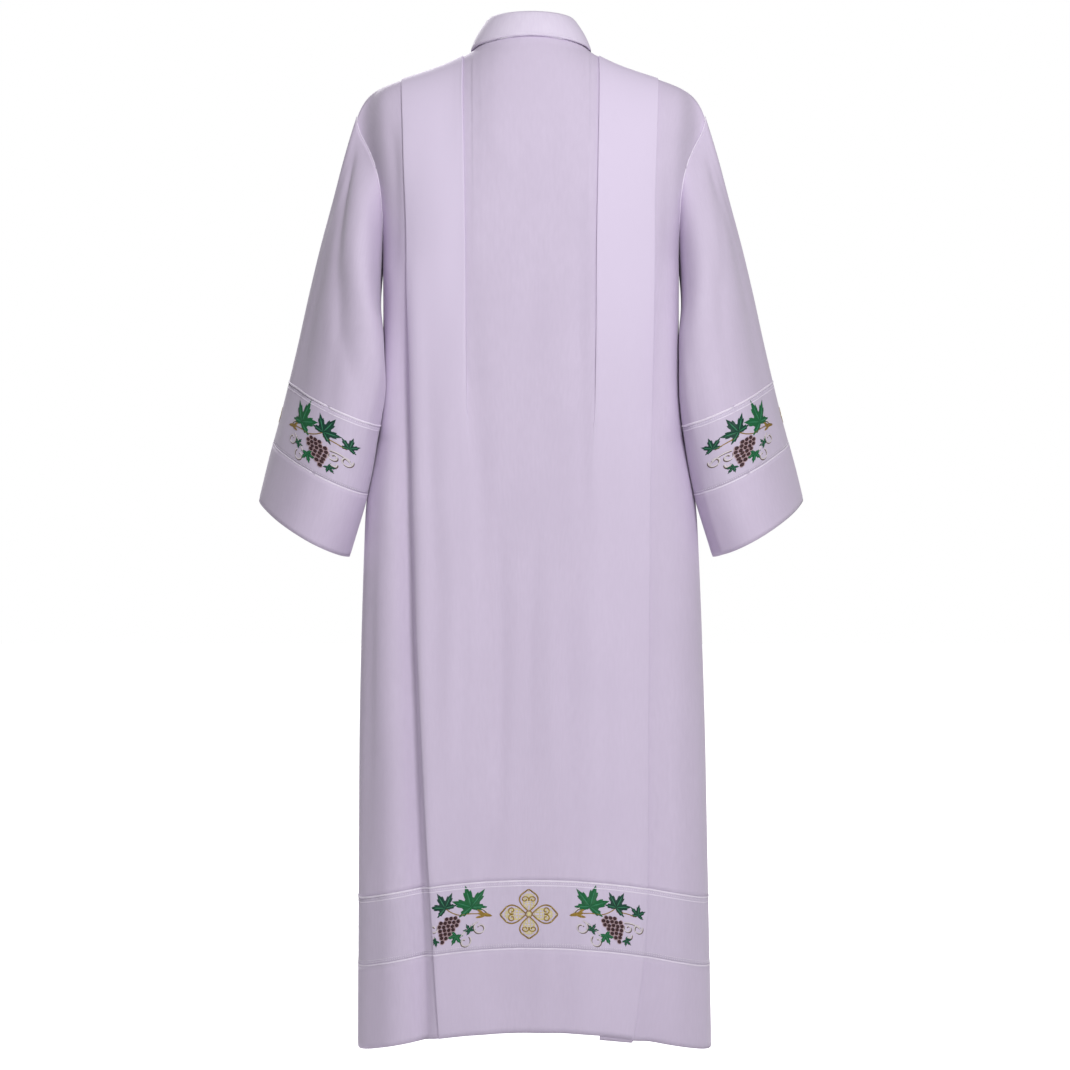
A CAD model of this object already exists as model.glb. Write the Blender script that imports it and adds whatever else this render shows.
"""The looks of a long alb-cut cassock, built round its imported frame.

The shapes are worked out in millimetres with numpy, on whole arrays, and become metres when a
mesh is made. Axes are the frame's: +Z up, the wearer's front at -Y, the wearer's left at +X.
A panel is 1 for the back and -1 for the front. turn is the angle across a panel, from -90
degrees at the right side seam to 90 at the left. level runs down a panel: 0 the neck and
shoulder edge, 1 the underarm, 2 the band's top, 3 the band's foot, 4 the hem.
"""

import bpy
import numpy as np
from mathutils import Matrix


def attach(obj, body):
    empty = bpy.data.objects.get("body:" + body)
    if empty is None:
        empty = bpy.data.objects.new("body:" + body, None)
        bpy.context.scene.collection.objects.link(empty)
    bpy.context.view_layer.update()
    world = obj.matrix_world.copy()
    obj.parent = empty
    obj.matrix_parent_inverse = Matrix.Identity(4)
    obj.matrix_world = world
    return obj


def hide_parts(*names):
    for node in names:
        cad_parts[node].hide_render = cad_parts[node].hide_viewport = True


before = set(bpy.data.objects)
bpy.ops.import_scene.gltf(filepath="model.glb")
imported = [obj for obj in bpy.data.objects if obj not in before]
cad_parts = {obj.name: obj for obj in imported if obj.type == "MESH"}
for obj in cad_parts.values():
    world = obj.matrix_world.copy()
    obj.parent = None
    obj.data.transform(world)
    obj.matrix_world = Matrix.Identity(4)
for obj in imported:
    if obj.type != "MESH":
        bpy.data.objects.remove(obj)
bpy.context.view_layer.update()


# ---- Small helpers ----
UP = np.array([0.0, 0.0, 1.0])


def table(columns, *rows):
    """A table with named columns, as a dictionary of arrays."""
    return dict(zip(columns.split(), np.array(rows, float).T))


def vec(x, y, z):
    """Points from their coordinates: the three arrays are broadcast and stacked."""
    return np.stack(np.broadcast_arrays(x, y, z), -1).astype(float)


def mix(a, b, t):
    """Between two values: a at 0 and b at 1."""
    return a + (b - a) * t


def ease(t):
    """The smooth step t * t * (3 - 2 t) of t held between 0 and 1."""
    held = np.clip(t, 0, 1)
    return held**2 * (3 - 2 * held)


def hump(d):
    """The bell exp(-d * d)."""
    return np.exp(-np.square(d))


def unit(v):
    """Vectors divided by their length."""
    return v / np.maximum(np.linalg.norm(v, axis=-1, keepdims=True), 1e-9)


def both_float(a, b):
    """Two arrays of floats, broadcast to one shape."""
    return np.broadcast_arrays(np.asarray(a, float), np.asarray(b, float))


def run_along(path):
    """Distance along a path, from 0 at its first point."""
    return np.append(0, np.cumsum(np.linalg.norm(np.diff(path, axis=0), axis=1)))


def cubic(t, start, end, slope, end_slope):
    """The Hermite cubic from a start to an end, with its slopes there."""
    rest = 1 - t
    first = start * rest**2 * (1 + 2 * t) + slope * rest**2 * t
    return first + end * t**2 * (3 - 2 * t) - end_slope * t**2 * rest


def read(rows, key, at, column):
    """A column at a key: a cubic through the rows, whose slope at a row is its neighbours' chord."""
    keys, values = rows[key], rows[column]
    last = len(keys) - 1
    down = np.sign(keys[-1] - keys[0])
    i = np.clip(np.searchsorted(down * keys, down * np.asarray(at, float)) - 1, 0, last - 1)
    before = np.maximum(np.arange(last + 1) - 1, 0)
    after = np.minimum(np.arange(last + 1) + 1, last)
    slopes = (values[after] - values[before]) / (keys[after] - keys[before])
    span = keys[i + 1] - keys[i]
    t = np.clip((at - keys[i]) / span, 0, 1)
    return cubic(t, values[i], values[i + 1], slopes[i] * span, slopes[i + 1] * span)


# ---- Driving sizes: the frame's, unless a comment says that they are made here ----
CLOTH = 1.2  # thickness of the frame's walls
SHEER = 0.7  # thickness of the cloth shells made here
GAP = 0.3
LAYER = 1.5  # distance between the layers of a pleat
LAYER_AT_SEAM = 0.9  # the same where it is pressed flat in the shoulder seam
UNDERLAY_LOW = 6.0  # made here: how far the right pleat's under layer hangs below the hem

UNDERARM = -295
EDGES = table(
    "level side back_rise front_rise",
    (1, UNDERARM, 0, 0),
    (2, -1178, 39, 16),
    (3, -1272, 43, 16),
    (4, -1386, 45, 17),
)
RISE_POWER = 2.2

NECK_HALF, NECK_BACK, NECK_FRONT = 82, 71, 59
NECK_BACK_UP, NECK_FRONT_DOWN = 9, 31
SEAM_Y = -3

SHOULDER_HALF, SHOULDER_SLOPE = 243, 0.385
SHOULDER_DROP, SHOULDER_DROP_POWER, SHOULDER_TURNS = 29, 14, 205
DIP_DEEP, DIP_AT, DIP_WIDE = 3.6, 126, 44
TOP_SPREAD, TOP_SPREAD_POWER = 1.04, 14
# Lengths of a column's handles: below the top edge, and above the underarm.
NAPE_HANDLE, SHOULDER_HANDLE, END_HANDLE = 58, 82, 52
MIDDLE_STAND, SIDE_STAND = 130, 80
CORNER_SOFT, CORNER_SOFT_BY = np.radians(5.5), 0.07  # how far the neckline's corner is rounded

ARMHOLE_BACK, ARMHOLE_FRONT = np.radians(14), np.radians(19)
ARMHOLE_LOW, ARMHOLE_FULL = 1.4, 0.8
QUARTER = np.pi / 2

BODY = table(
    "z half back front square right",
    (-295, 206, 118, 122, 2.8, 0),
    (-410, 206, 121, 127, 2.8, 0),
    (-525, 212, 124, 131, 2.75, 0),
    (-620, 228, 127, 134, 2.7, 0),
    (-700, 233, 129, 137, 2.65, 0.5),
    (-900, 239.5, 134, 143, 2.6, 1.5),
    (-1120, 243, 141, 149, 2.55, 3),
    (-1386, 246, 149, 156, 2.5, 5),
)

PLEATS = table(
    "z inner outer_left outer_right under_in under_out shut step",
    (0, 91, 171, 168, 20, 40, 1, 13),
    (-150, 91, 169, 167, 20, 40, 1, 13),
    (-330, 88, 167, 166, 18, 41, 0.9, 14),
    (-520, 82, 163, 163, 14, 42, 0.3, 17),
    (-700, 74, 158, 159, 8, 42, 0, 21),
    (-900, 66, 151, 157, 0, 43, 0, 25),
    (-1178, 56, 138, 154, 0, 43, 0, 26),
    (-1272, 53, 133, 148, 0, 43, 0, 26),
    (-1386, 50, 127, 131, 0, 43, 0, 26),
)

SOFT_FOLDS = table(
    "panel top hem begin out wide",
    (1, 182, 147, -200, -15, 13),
    (1, 200, 188, -420, 5, 17),
    (1, -190, -196, -450, 5, 22),
    (1, -186, -160, -500, -5, 14),
    (1, -30, -18, -520, 3, 20),
    (-1, 40, 52, -330, -7, 20),
    (-1, -46, -60, -360, -8, 22),
    (-1, 96, 108, -300, 7, 24),
    (-1, -104, -120, -300, 8, 26),
    (-1, 150, 170, -380, -9, 18),
    (-1, -152, -180, -420, -8, 20),
)

# Made here: creases, ridges and sunk folds, each a bell across a line from its top to its foot.
CREASES = table(
    "panel x_top z_top x_foot z_foot out wide",
    (1, -70, -150, -66, -700, -1.6, 9),
    (1, -84, -130, -80, -640, 0.9, 8),
    (1, 76, -330, 66, -820, -1.0, 12),
    (1, 44, -640, 38, -1060, -1.3, 8),
    (1, 20, -700, 26, -1130, 1.2, 9),
    (1, -6, -660, 0, -1000, -1.2, 7),
    (1, -30, -720, -34, -1150, 1.1, 10),
    (1, -52, -800, -58, -1180, -0.9, 9),
    (1, 118, -420, 108, -1000, 1.4, 14),
    (1, -118, -420, -122, -1100, 1.2, 15),
    (1, 96, -560, 88, -1200, -0.9, 10),
    (1, -98, -640, -104, -1240, -1.0, 11),
    (1, 140, -360, 128, -760, -1.1, 9),
    (1, 60, -90, 20, -210, 1.0, 14),
    (1, -58, -96, -14, -230, 0.9, 15),
    (1, 190, -110, 180, -330, -2.6, 9),
    (1, 190, -300, 194, -540, 8.0, 12),
    (1, -190, -300, -196, -540, 9.0, 12),
    (1, 178, -130, 174, -480, 1.6, 7),
    (1, 214, -420, 206, -1000, 2.6, 14),
    (1, -194, -170, -176, -330, -1.8, 9),
    (1, -205, -420, -214, -760, 1.5, 10),
    (1, 216, -500, 224, -1150, -3.6, 9),
    (1, 169, -300, 130, -1330, 6.0, 17),
    (1, 182, -300, 144, -1330, -10.0, 12),
    (-1, 22, -380, 30, -1120, 3.0, 13),
    (-1, -16, -500, -26, -1200, -2.8, 13),
    (-1, 62, -330, 84, -1150, -3.2, 14),
    (-1, -70, -300, -92, -1100, -3.0, 14),
    (-1, 112, -260, 140, -1050, 3.4, 15),
    (-1, -118, -300, -150, -1150, 3.4, 16),
    (-1, 160, -420, 176, -1180, -2.6, 12),
    (-1, -164, -460, -180, -1180, -2.4, 12),
    (-1, 192, -140, 158, -330, -3.6, 11),
    (-1, -193, -150, -156, -340, -3.4, 11),
    (-1, 60, -110, 110, -240, 1.6, 16),
    (-1, -62, -110, -112, -250, 1.7, 16),
    (-1, 40, -120, 66, -420, -1.5, 12),
    (-1, -44, -130, -74, -440, -1.4, 12),
    (-1, 202, -520, 214, -1060, 2.6, 12),
    (-1, -204, -560, -216, -1120, 2.4, 12),
)

# Made here: the gentle unevenness of hanging cloth, as wavelengths, height and phase.
WAVES = table(
    "across along out phase",
    (118, 930, 0.45, 0.4),
    (-83, 610, 0.35, 2.1),
    (61, 380, 0.25, 4.4),
    (-47, 510, 0.18, 1.2),
    (160, 240, 0.3, 3.3),
    (36, 300, 0.1, 5.2),
    (-210, 150, 0.22, 0.9),
)

# The outer and inner points of a sleeve's rings. From 0.45 to 2.0 the inner ones lie up to
# 8.5 mm nearer to the body than the frame's.
SLEEVE = table(
    "at ox oy oz ix iy iz deep round",
    (0.0, 243, -3, -92, 206, 0, -295, 58, 2.0),
    (0.15, 262, -7, -150, 208.5, 18, -326, 66, 2.0),
    (0.3, 279, -12, -210, 208.5, 37, -362, 73, 1.95),
    (0.45, 297, -18, -275, 203.5, 50, -402, 79, 1.9),
    (0.6, 313, -24, -340, 203.5, 58, -442, 84, 1.8),
    (0.8, 327, -29, -402, 204.5, 60, -486, 88, 1.7),
    (1.0, 341, -33, -459, 208.5, 56, -526, 91, 1.6),
    (2.0, 365, -40, -546, 225.5, 44, -620, 94, 1.5),
    (3.0, 386, -46, -626, 253, 20, -706, 96, 1.45),
)
ARMHOLE_FADE = 0.42
HANG = 10
# The frame's folds but for two, whose place the drag takes. The creases are made here.
SLEEVE_FOLDS = table(
    "top foot at reach out wide",
    (55, 28, 0.75, 0.9, -4, 14),
    (150, 190, 0.5, 0.6, -6, 18),
    (205, 225, 0.8, 0.9, 4, 16),
)
SLEEVE_CREASES = table(
    "top foot at reach out wide",
    (8, -20, 0.7, 0.5, -1.6, 8),
    (40, 60, 1.3, 0.8, 1.4, 10),
    (-10, -6, 1.9, 0.9, -1.2, 9),
    (70, 74, 0.35, 0.3, -2.0, 8),
    (-58, -44, 0.9, 0.5, 1.6, 8),
    (120, 128, 0.6, 0.7, 1.8, 10),
    (168, 172, 1.5, 0.9, -1.5, 10),
    (232, 214, 0.5, 0.4, -2.2, 9),
)
# The drag down from the shoulder blade: a wide bell and a narrow hollow before it, which both
# drift round the sleeve towards the body, and are weaker on the right one.
DRAG = table(
    "top foot at reach out wide",
    (22, -317, 0.4, 0.4, 17, 32),
    (68, -283, 0.34, 0.36, -6.5, 14),
)
DRAG_ON_RIGHT = 0.3
# A pressed crease down the right sleeve's foot: degrees round it, height and width.
PRESSED_AT, PRESSED_OUT, PRESSED_WIDE = 306, 3.2, 9
LAP_HERE = 0.9  # how far the sleeve's seam stands out from the panels

COLLAR_THICK, COLLAR_DOWN, COLLAR_PROUD = 2.4, 0.012, 0.7
COLLAR_TOP = {"half": 60, "back": 56, "front": 50, "back_up": 45, "side_up": 44, "front_up": 9}
COLLAR_BULGE, COLLAR_LAP, COLLAR_LAP_OUT = 2.5, np.radians(11), 3.4

PLACKET_THICK, PLACKET_TOP = 1.6, 0.05
PLACKET_EDGE = 0.6  # its thickness where its edges are rounded
PLACKET_BUTTONS = (0.18, 0.45, 0.66, 0.87)  # levels
COLLAR_BUTTON_OFF, PLACKET_BUTTON_OFF = 0.5, 0.45  # from the cloth's face to the button's back
EYELET_WIDE, EYELET_LONG = 0.9, 9


# ---- The body's surface ----
def top_distance(turn):
    """Distance from the centre at the shoulder: nearly the sine of turn, and wider at the end."""
    share = np.abs(np.sin(turn))
    straight = BODY["half"][0] * TOP_SPREAD
    return straight * share + (SHOULDER_HALF - straight) * share**TOP_SPREAD_POWER


def upright(turn):
    """0 over the shoulder and 1 at its end, where the cloth turns upright."""
    return ease((top_distance(turn) - SHOULDER_TURNS) / (SHOULDER_HALF - SHOULDER_TURNS))


def top_edge(panel, turn):
    """The neckline, half an ellipse, and beyond it the sloping shoulder seam with a rounded end."""
    x = top_distance(turn)
    side = np.where(np.asarray(turn) < 0, -1, 1)
    y = SEAM_Y + panel * (GAP / 2 + CLOTH / 2 * upright(turn))
    inside = np.clip(1 - (x / NECK_HALF) ** 2, 0, 1)
    deep = NECK_BACK if panel > 0 else NECK_FRONT
    up = NECK_BACK_UP if panel > 0 else -NECK_FRONT_DOWN
    beyond = np.maximum(x - NECK_HALF, 0)
    drop = SHOULDER_DROP * (beyond / (SHOULDER_HALF - NECK_HALF)) ** SHOULDER_DROP_POWER
    dip = DIP_DEEP * hump((x - DIP_AT) / DIP_WIDE) * ease(beyond / 20)
    z = up * inside - 1 - SHOULDER_SLOPE * beyond - drop - dip
    return vec(side * x, y + panel * deep * np.sqrt(inside), z)


def top_handle(panel, turn):
    """How a column leaves the top edge: down the nape, level over the shoulder, down at its end."""
    across = np.clip(top_distance(turn) / NECK_HALF, 0, 1)[..., None] ** 2
    end = upright(turn)[..., None]
    middle = np.array([0, 0.62, -0.78] if panel > 0 else [0, -0.55, -0.84])
    over = np.array([0, panel, -0.08])
    down = np.array([0, 0.15 * panel, -1])
    way = unit(mix(mix(middle, over, across), down, end))
    return way * mix(mix(NAPE_HANDLE, SHOULDER_HANDLE, across), END_HANDLE, end)


def body_section(panel, turn, z):
    """A level section: x = half sin(turn), y = deep (1 - |sin|^n)^(1/n), moved to the right."""
    share = np.abs(np.sin(turn))
    square = read(BODY, "z", z, "square")
    deep = read(BODY, "z", z, "back" if panel > 0 else "front")
    y = deep * np.maximum(1 - share**square, 0) ** (1 / square)
    x = read(BODY, "z", z, "half") * np.sin(turn) - read(BODY, "z", z, "right")
    return vec(x, panel * np.maximum(y, GAP / 2), z)


def level_height(panel, turn, level):
    """Height of a level: straight between the edges' heights, and raised towards the centre."""
    i = np.clip(np.floor(level).astype(int) - 1, 0, 2)
    t = level - EDGES["level"][i]
    rise = EDGES["back_rise" if panel > 0 else "front_rise"]
    lifted = mix(rise[i], rise[i + 1], t) * (1 - np.abs(np.sin(turn)) ** RISE_POWER)
    return mix(EDGES["side"][i], EDGES["side"][i + 1], t) + lifted


# Places and weights of the mean that rounds the neckline's corner.
BELL_AT = np.linspace(-2.2, 2.2, 13)
BELL = np.exp(-BELL_AT**2 / 2)


def body_surface(panel, turn, level):
    """The panel before folding: a Bezier column down to the underarm, level sections below it."""
    turn, level = both_float(turn, level)
    lower = body_section(panel, turn, level_height(panel, turn, np.maximum(level, 1)))
    t = np.clip(level, 0, 1)[..., None]
    r = 1 - t
    # Below the edge the neckline's corner is rounded off: the top is a mean of its neighbours.
    soft = CORNER_SOFT * ease(t[..., 0] / CORNER_SOFT_BY) * (1 - np.abs(np.sin(turn)) ** 8)
    top, out = 0, 0
    for share, away in zip(BELL / BELL.sum(), BELL_AT):
        near = np.clip(turn + away * soft, -QUARTER, QUARTER)
        edge = top_edge(panel, near)
        top = top + share * edge
        out = out + share * (edge + top_handle(panel, near))
    foot = body_section(panel, turn, np.full(turn.shape, float(UNDERARM)))
    stand = foot + vec(0, 0, mix(MIDDLE_STAND, SIDE_STAND, np.sin(turn) ** 4))
    upper = r**3 * top + 3 * r * r * t * out + 3 * r * t * t * stand + t**3 * foot
    return np.where((level > 1)[..., None], lower, upper)


def body_normal(panel, turn, level):
    """Outward normal of the unfolded panel: the cross product of its two differences."""
    step = 0.003
    turn, level = both_float(turn, level)
    middle = np.clip(turn, -QUARTER + step, QUARTER - step)
    across = body_surface(panel, middle + step, level) - body_surface(panel, middle - step, level)
    high = np.maximum(level - step, 0)
    along = body_surface(panel, turn, level + step) - body_surface(panel, turn, high)
    return unit(panel * np.cross(across, along))


def soft_fold(panel, x, z):
    """The sum of the frame's soft folds: bells across, which grow towards the hem."""
    out = np.zeros(np.shape(x))
    down = np.clip((z - UNDERARM) / (EDGES["side"][-1] - UNDERARM), 0, 1)
    for k in np.flatnonzero(SOFT_FOLDS["panel"] == panel):
        top, hem, begin = (SOFT_FOLDS[name][k] for name in ("top", "hem", "begin"))
        grown = ease((z - begin) / (EDGES["side"][-1] - begin)) ** 0.6
        out += SOFT_FOLDS["out"][k] * grown * hump((x - mix(top, hem, down)) / SOFT_FOLDS["wide"][k])
    return out


def fine_relief(panel, x, z):
    """The creases, bells across a slanted line that fade at both ends, and the long low waves."""
    out = np.zeros(np.shape(x))
    for k in np.flatnonzero(CREASES["panel"] == panel):
        row = {name: column[k] for name, column in CREASES.items()}
        t = (z - row["z_top"]) / (row["z_foot"] - row["z_top"])
        ends = np.sqrt(np.sin(np.pi * np.clip(t, 0, 1)))
        middle = mix(row["x_top"], row["x_foot"], t) + 0.4 * row["wide"] * np.sin(5 * t + k)
        out += row["out"] * ends * hump((x - middle) / row["wide"])
    for across, along, height, phase in zip(*WAVES.values()):
        out += height * np.sin(2 * np.pi * (x / across + z / along) + phase + panel)
    return out * ease((-z - 30) / 120)


def puckers(panel, turn, x, z):
    """Ripples that the sewing draws up on both sides of the band's seams."""
    near = sum(hump((z - level_height(panel, turn, np.array(lv))) / 11) for lv in (2.0, 3.0))
    return near * (0.4 * np.sin(x / 3.9 + panel) + 0.35 * np.sin(x / 6.3 + 2) + 0.3 * np.sin(x / 15))


def body_point(panel, turn, level, lift):
    """The finished panel: its surface moved out by the pleat's lift, the folds and the creases."""
    base = body_surface(panel, turn, level)
    seam = 1 - np.abs(np.sin(turn)) ** 24
    x, z = base[..., 0], base[..., 2]
    relief = soft_fold(panel, x, z) + fine_relief(panel, x, z) + puckers(panel, turn, x, z)
    made = base + body_normal(panel, turn, level) * (lift + relief * seam)[..., None]
    below = np.broadcast_to(np.asarray(level) > 1, made.shape[:-1])
    kept = panel * np.maximum(panel * made[..., 1], GAP / 2)
    made[..., 1] = np.where(below, kept, made[..., 1])
    return made


def edge_turn(panel, level):
    """The outermost turn: the side seam, and above the underarm the armhole cut into the panel."""
    cut = ARMHOLE_BACK if panel > 0 else ARMHOLE_FRONT
    held = np.clip(level, 0, 1)
    return QUARTER - cut * np.abs(np.sin(np.pi * held**ARMHOLE_LOW)) ** ARMHOLE_FULL


# ---- Lanes: columns of a panel, as turns and lifts ----
NECK_LANES = np.radians([0, 12, 26, 42, 60, 77, 90])


def nominal_height(level):
    """Height of a level on the side seam."""
    side = level_height(-1, QUARTER, np.maximum(level, 1))
    return np.where(level <= 1, UNDERARM * level, side)


def turn_at(x, z):
    """The turn whose section lies at a distance x from the centre."""
    return np.arcsin(np.clip(x / read(BODY, "z", np.minimum(z, UNDERARM), "half"), -1, 1))


def refined(values, steps):
    """Rows of values at finer columns: a monotone cubic, with steps[k] columns in gap k."""
    gaps = np.diff(values, axis=1)
    both = gaps[:, :-1] * gaps[:, 1:] > 0
    total = np.where(both, gaps[:, :-1] + gaps[:, 1:], 1)
    inner = np.where(both, 2 * gaps[:, :-1] * gaps[:, 1:] / total, 0)
    slope = np.concatenate([gaps[:, :1], inner, gaps[:, -1:]], 1)
    k = np.append(np.repeat(np.arange(len(steps)), steps), len(steps) - 1)
    t = np.append(np.concatenate([np.arange(n) / n for n in steps]), 1.0)
    return cubic(t, values[:, k], values[:, k + 1], slope[:, k], slope[:, k + 1])


# Fine columns in each gap between lanes, from the centre out: neck, inner pleat, band, outer
# pleat, side.
BACK_STEPS = [3] * 6 + [2] + [4, 2, 2, 4, 2, 2] + [6] * 3 + [2, 2, 6, 2, 2, 6] + [4] * 6
FRONT_STEPS = [3] * 6 + [6] * 8


def pleated_lanes(side, level):
    """Turns and lifts of one half of the back, centre first, for each level.

    Pressed shut, the inner fold runs under, back and out again by under_in. Open, it is a
    soft step of half width step. The outer fold does the same by under_out all the way down.
    """
    z = nominal_height(level)
    names = ("inner", "outer_left" if side > 0 else "outer_right", "under_in", "under_out", "step")
    inner, outer, under_in, under_out, step = (read(PLEATS, "z", z, name)[:, None] for name in names)
    shut = np.clip(read(PLEATS, "z", z, "shut"), 0, 1)[:, None]
    layer = mix(LAYER_AT_SEAM, LAYER, ease(level * 2.5))[:, None]
    bend = layer / 2
    flat = np.zeros_like(inner)
    room = np.minimum(NECK_HALF / TOP_SPREAD, inner - mix(step, 5, shut) - 3)
    centre = room * np.sin(NECK_LANES)
    pressed = np.hstack([flat - 5, under_in, under_in + bend, under_in, flat, -bend, flat])
    spread = step * np.linspace(-1, 1, 7)
    fold_in = inner + mix(spread, pressed, shut)
    lift_in = mix(np.array([0, 0.15, 0.52, 1, 1.48, 1.85, 2]), np.array([0, 0, 0.5, 1, 1, 1.5, 2]), shut)
    near = inner + mix(step, 0, shut)
    band = mix(near, outer, np.array([0.3, 0.65]))
    fold_out = outer + np.hstack([flat, bend, flat, -under_out, -under_out - bend, -under_out, flat])
    x = np.hstack([centre, fold_in, band, fold_out])
    start = turn_at(outer, z[:, None])
    edge = edge_turn(1, level)[:, None]
    sides = mix(start, edge, np.array([0.17, 0.36, 0.56, 0.77, 0.91, 1]))
    turn = side * np.hstack([turn_at(x, z[:, None]), sides])
    lift_out = np.array([2, 1.5, 1, 1, 0.5, 0, 0] + [0] * 6)
    rows = len(level)
    parts = [np.zeros((rows, 7)), lift_in, np.full((rows, 2), 2.0), np.tile(lift_out, (rows, 1))]
    return turn, np.hstack(parts) * layer


def plain_lanes(side, level):
    """Turns and lifts of one half of the front: under the neckline, then evenly to the side."""
    corner = NECK_HALF / TOP_SPREAD
    start = turn_at(corner, UNDERARM)
    neck = np.broadcast_to(turn_at(corner * np.sin(NECK_LANES), UNDERARM), (len(level), 7))
    shares = np.array([0.12, 0.24, 0.37, 0.5, 0.64, 0.78, 0.91, 1])
    turn = side * np.hstack([neck, mix(start, edge_turn(-1, level)[:, None], shares)])
    return turn, np.zeros_like(turn)


def fine_lanes(panel, level):
    """Turns and lifts of every fine column of a panel, from the right side to the left."""
    level = np.asarray(level, float)
    lanes, steps = (pleated_lanes, BACK_STEPS) if panel > 0 else (plain_lanes, FRONT_STEPS)
    halves = [[refined(part, steps) for part in lanes(side, level)] for side in (-1, 1)]
    return tuple(np.hstack([right[:, :0:-1], left]) for right, left in zip(*halves))


def panel_grid(panel, levels):
    """The panel's fine grid; at the hem the right pleat's under layer hangs a little lower."""
    turn, lift = fine_lanes(panel, levels)
    levels = np.asarray(levels)[:, None]
    grid = body_point(panel, turn, levels, lift)
    if panel > 0:
        # Its share in each lane: the outer pleat's under layer, whole in three of them.
        under = [0] * 17 + [0.3, 0.8, 1, 1, 1, 0.4] + [0] * 6
        low = refined(np.array([under], float), BACK_STEPS)[0]
        grid[:, : len(low), 2] -= UNDERLAY_LOW * low[::-1] * ease(levels - 3)
    return grid


def doubled(panel, levels):
    """How far the cloth lies pressed double or threefold: 1 on the pleats, and less lower down."""
    lift = fine_lanes(panel, levels)[1]
    shut = np.clip(read(PLEATS, "z", nominal_height(np.asarray(levels, float)), "shut"), 0, 1)
    return lift / np.maximum(lift.max(1, keepdims=True), 1e-6) * mix(0.25, 1, shut)[:, None]


def outer_lift(panel, turn, level):
    """Lift of the pleats' uppermost layer at a turn: what lies on the panel sits on it."""
    if panel < 0:
        return np.zeros(np.shape(turn))
    z = nominal_height(level)
    x = np.abs(np.sin(turn)) * read(BODY, "z", z, "half")
    outer = np.where(turn > 0, read(PLEATS, "z", z, "outer_left"), read(PLEATS, "z", z, "outer_right"))
    inner, step = read(PLEATS, "z", z, "inner"), read(PLEATS, "z", z, "step")
    return np.where(x > outer, 0, 2 * ease((x - inner + step) / (2 * step))) * LAYER


# ---- Sleeves ----
# turn goes round a sleeve: 0 back, 90 degrees outer, 180 front, 270 inner. at runs down it:
# 0 the armhole, 1 the band's top, 2 the band's foot, 3 the edge. side is 1 on the left.
def armhole_point(side, turn):
    """A side's armhole edge on the panels, moved out by the lap, as if it were on the left."""
    from_top = np.abs(np.arctan2(np.cos(turn), np.sin(turn))) / np.pi
    past = ease(from_top / 0.12)[..., None]
    over = np.array([0.75, 0, 0.66])
    mirror = np.array([side, 1, 1])
    made = []
    for panel in (1, -1):
        edge = edge_turn(panel, from_top)
        seam = body_point(panel, side * edge, from_top, 0 * from_top) * mirror
        seam[..., 1] = mix(SEAM_Y, seam[..., 1], ease(from_top / 0.03))
        out = unit(mix(over, body_normal(panel, side * edge, from_top) * mirror, past))
        made.append(seam + out * LAP_HERE * mix(2, 1, past))
    return np.where((np.cos(turn) >= 0)[..., None], made[0], made[1])


def sleeve_section(turn, at):
    """A ring between the outer and inner points: sine along, the cosine's power in depth."""
    value = {name: read(SLEEVE, "at", at, name) for name in SLEEVE if name != "at"}
    outer = vec(value["ox"], value["oy"], value["oz"])
    inner = vec(value["ix"], value["iy"], value["iz"])
    depth = np.sign(np.cos(turn)) * np.abs(np.cos(turn)) ** (2 / value["round"])
    hang = HANG * np.clip(at, 0, 1) * np.abs(depth)
    middle = (outer + inner) / 2 + (outer - inner) * np.sin(turn)[..., None] / 2
    return middle + vec(0, value["deep"] * depth, -hang)


def degrees_past(turn, place):
    """Degrees from a place round the sleeve, between -180 and 180."""
    return np.mod(np.degrees(turn) - place + 180, 360) - 180


def round_folds(folds, turn, at):
    """Bells round the sleeve whose middle drifts from top to foot and that fade along it."""
    out = np.zeros(np.broadcast(turn, at).shape)
    for top, foot, middle, reach, height, wide in zip(*folds.values()):
        away = degrees_past(turn, mix(top, foot, at / 3))
        out += height * hump(away / wide) * hump((at - middle) / reach)
    return out


# The body's sides below the underarm, as grids of points from turn 45 degrees to the side seam.
BESIDE_LEVELS = np.linspace(1, 1.55, 48)[:, None]
BESIDE_TURNS = np.radians(np.linspace(45, 90, 70))
BESIDE = {
    (side, panel): body_point(panel, side * BESIDE_TURNS, BESIDE_LEVELS, 0.0)
    for side in (1, -1)
    for panel in (1, -1)
}
BESIDE_CLEAR = 2.2  # from the middle of the body's cloth to the middle of the sleeve's


def body_reach(side, y, z):
    """How far out the body lies at a depth and a height: its grid, read along y and then z."""
    reach = np.zeros(y.shape)
    for panel in (1, -1):
        grid = BESIDE[side, panel][:, ::-1]
        depth = np.maximum.accumulate(panel * grid[..., 1], axis=1)
        rows = np.stack(
            [np.interp(panel * y, d, side * x, right=0) for d, x in zip(depth, grid[..., 0])]
        )
        k = np.interp(-z, -grid[:, 0, 2], np.arange(len(rows)))
        low = np.minimum(k.astype(int), len(rows) - 2)
        one, other = (np.take_along_axis(rows, (low + n)[None], 0)[0] for n in (0, 1))
        reach = np.where(panel * y >= 0, mix(one, other, k - low), reach)
    return reach


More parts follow.
